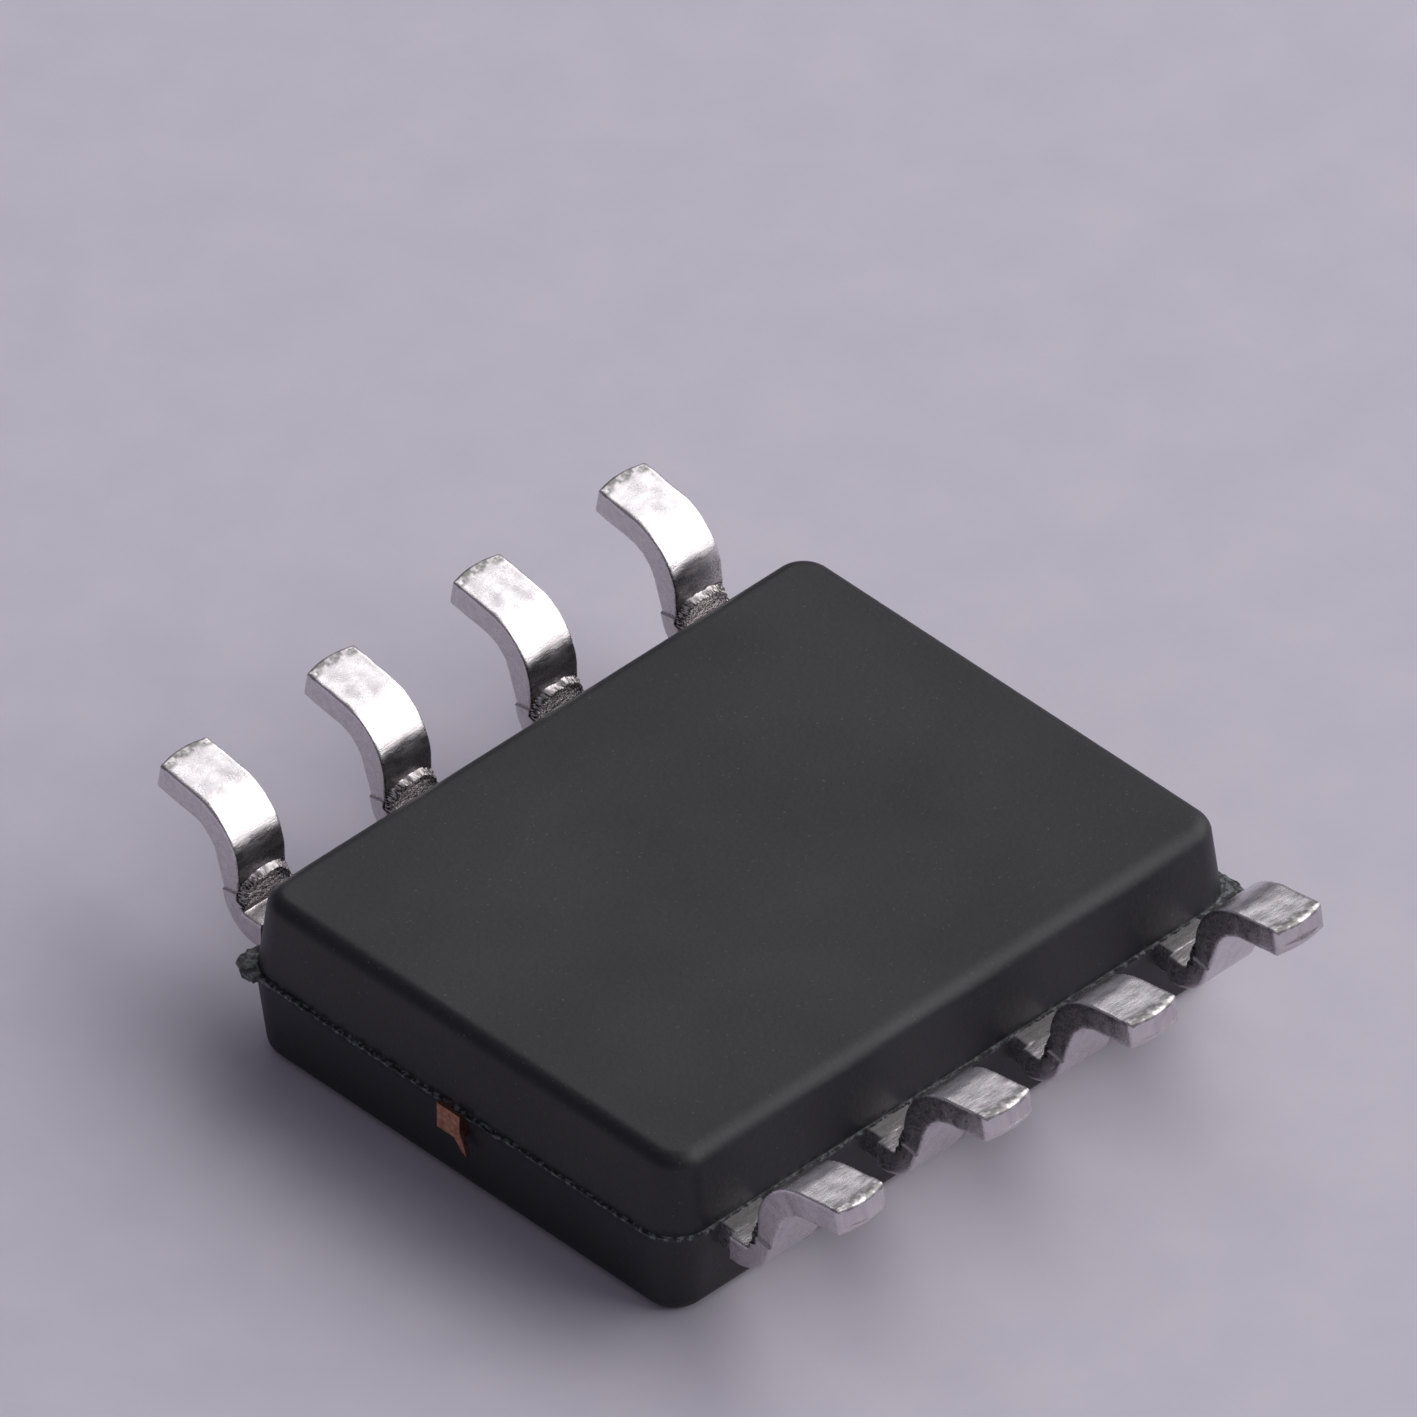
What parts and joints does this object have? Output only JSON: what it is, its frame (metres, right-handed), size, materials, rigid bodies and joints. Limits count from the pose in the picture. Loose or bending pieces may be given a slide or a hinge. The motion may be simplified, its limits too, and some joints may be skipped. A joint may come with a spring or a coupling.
{
  "type": "small outline integrated circuit package",
  "caption": "Black moulded eight-lead surface-mount chip package lying on its marked face, gull-wing leads up, with lead frame, die and bond wires inside.",
  "frame": {"origin": "middle of the marked face, on which the package rests with its feet up", "axes": "+X along the rows of leads, +Y across the rows, +Z out of the belly; turned half a turn about X the package stands on its feet as on a board"},
  "size_m": [0.005, 0.0062, 0.0014],
  "materials": {
    "moulding_compound": "matt blue-black filled epoxy with a fine grain",
    "tinned_lead": "satin tin plate on copper alloy, grainy on the outside of the bends",
    "copper_alloy": "stamped copper alloy",
    "silver_glue": "cured silver-filled glue",
    "silicon": "polished silicon",
    "gold_wire": "drawn gold wire"
  },
  "bodies": {
    "root": {"body": "moulding_compound", "lead_1": "tinned_lead", "lead_2": "tinned_lead", "lead_3": "tinned_lead", "lead_4": "tinned_lead", "lead_5": "tinned_lead", "lead_6": "tinned_lead", "lead_7": "tinned_lead", "lead_8": "tinned_lead", "die_pad": "copper_alloy", "die_attach": "silver_glue", "die": "silicon", "bond_wire_1": "gold_wire", "bond_wire_2": "gold_wire", "bond_wire_3": "gold_wire", "bond_wire_4": "gold_wire", "bond_wire_5": "gold_wire", "bond_wire_6": "gold_wire", "bond_wire_7": "gold_wire", "bond_wire_8": "gold_wire"}
  },
  "joints": []
}
